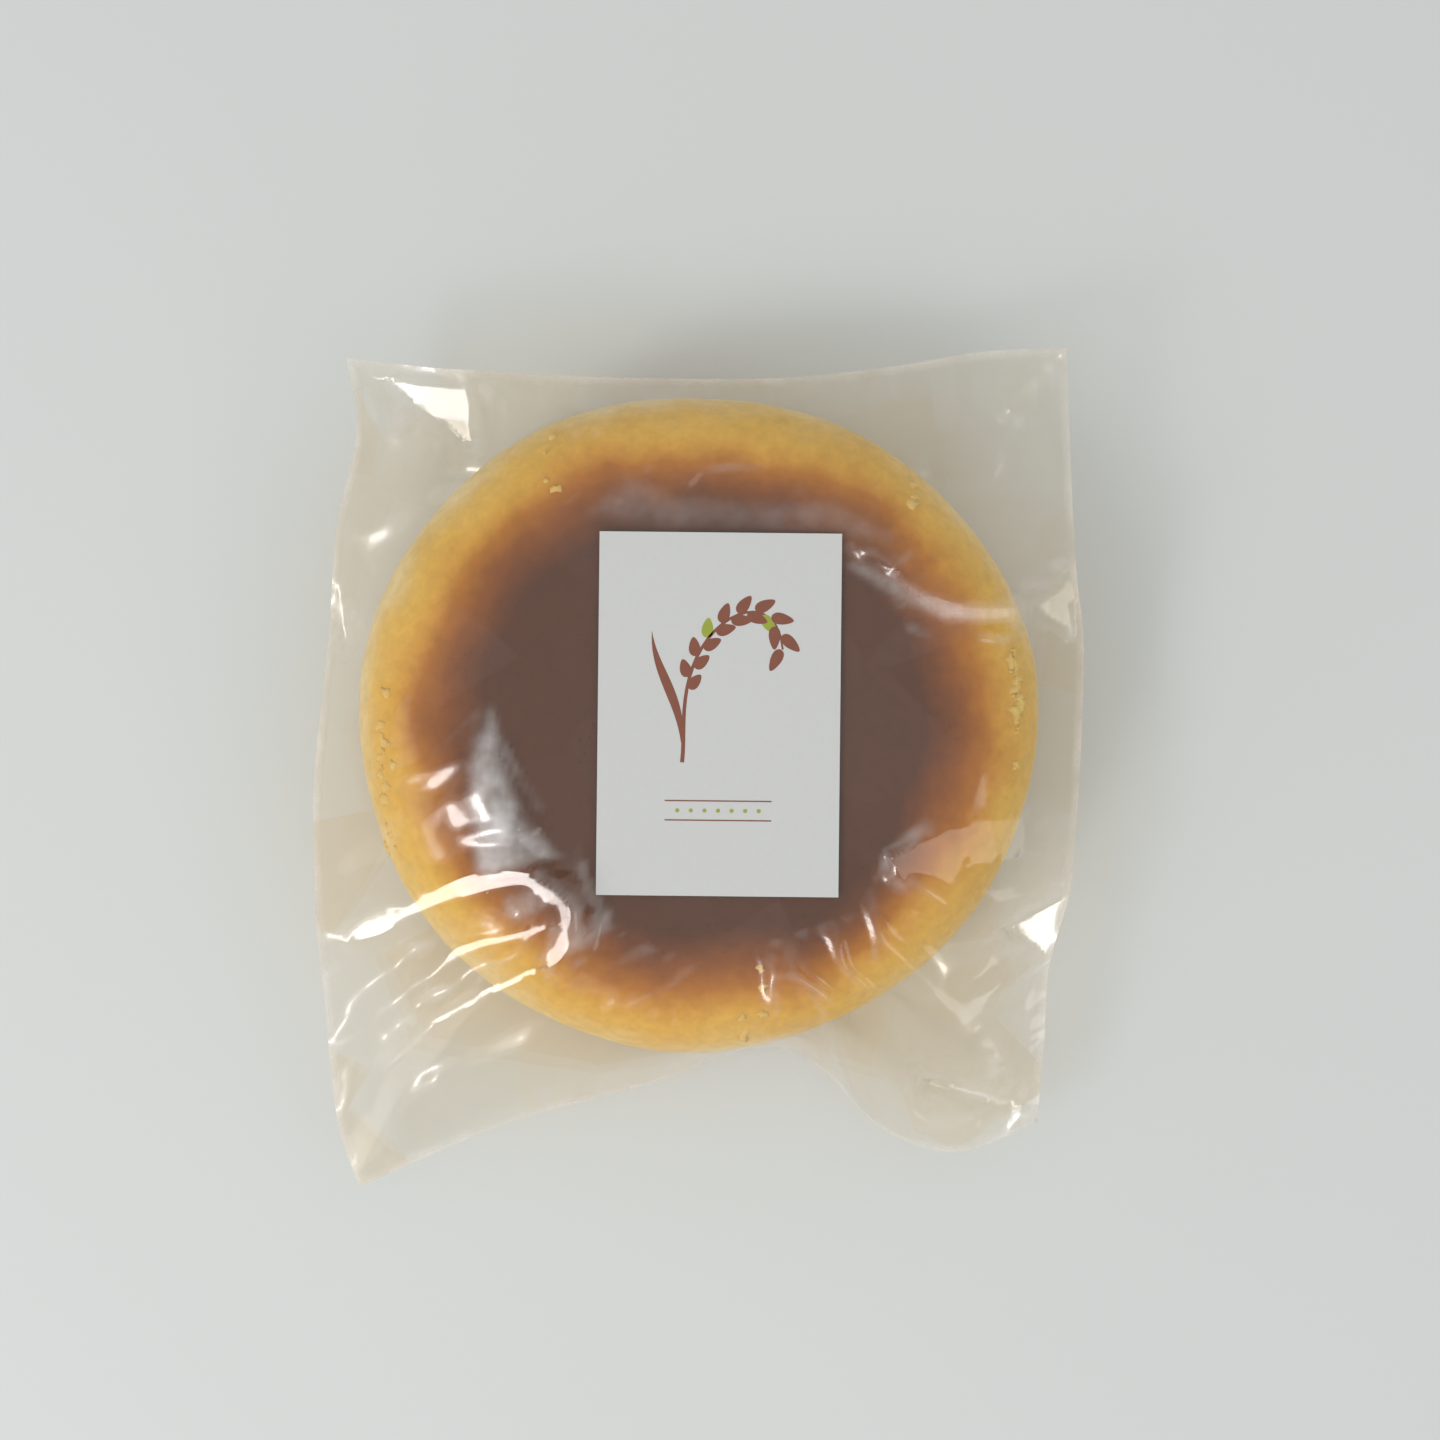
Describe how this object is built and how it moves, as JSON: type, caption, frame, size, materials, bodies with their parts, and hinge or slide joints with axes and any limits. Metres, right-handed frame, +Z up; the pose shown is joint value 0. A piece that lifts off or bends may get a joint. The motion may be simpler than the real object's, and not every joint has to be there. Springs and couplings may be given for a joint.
{
  "type": "bagged round sponge cake",
  "caption": "Whole round rice flour sponge cake with a browned top and yellow sides, shut in a loose clear film bag with a rectangular paper label on top.",
  "frame": {"origin": "on the flat underside, on the surface it lies on, below the middle of the cake", "axes": "+Z up, +Y towards the bag's closed end, +X to the right of the label"},
  "size_m": [0.1645, 0.181, 0.0486],
  "materials": {
    "film": "clear glossy film over the cake",
    "paper": "matt coated paper",
    "cake": "soft matt crumb, browned on top",
    "ink": "flat printed ink"
  },
  "bodies": {
    "root": {"bag": "film", "label": "paper"}
  },
  "joints": []
}
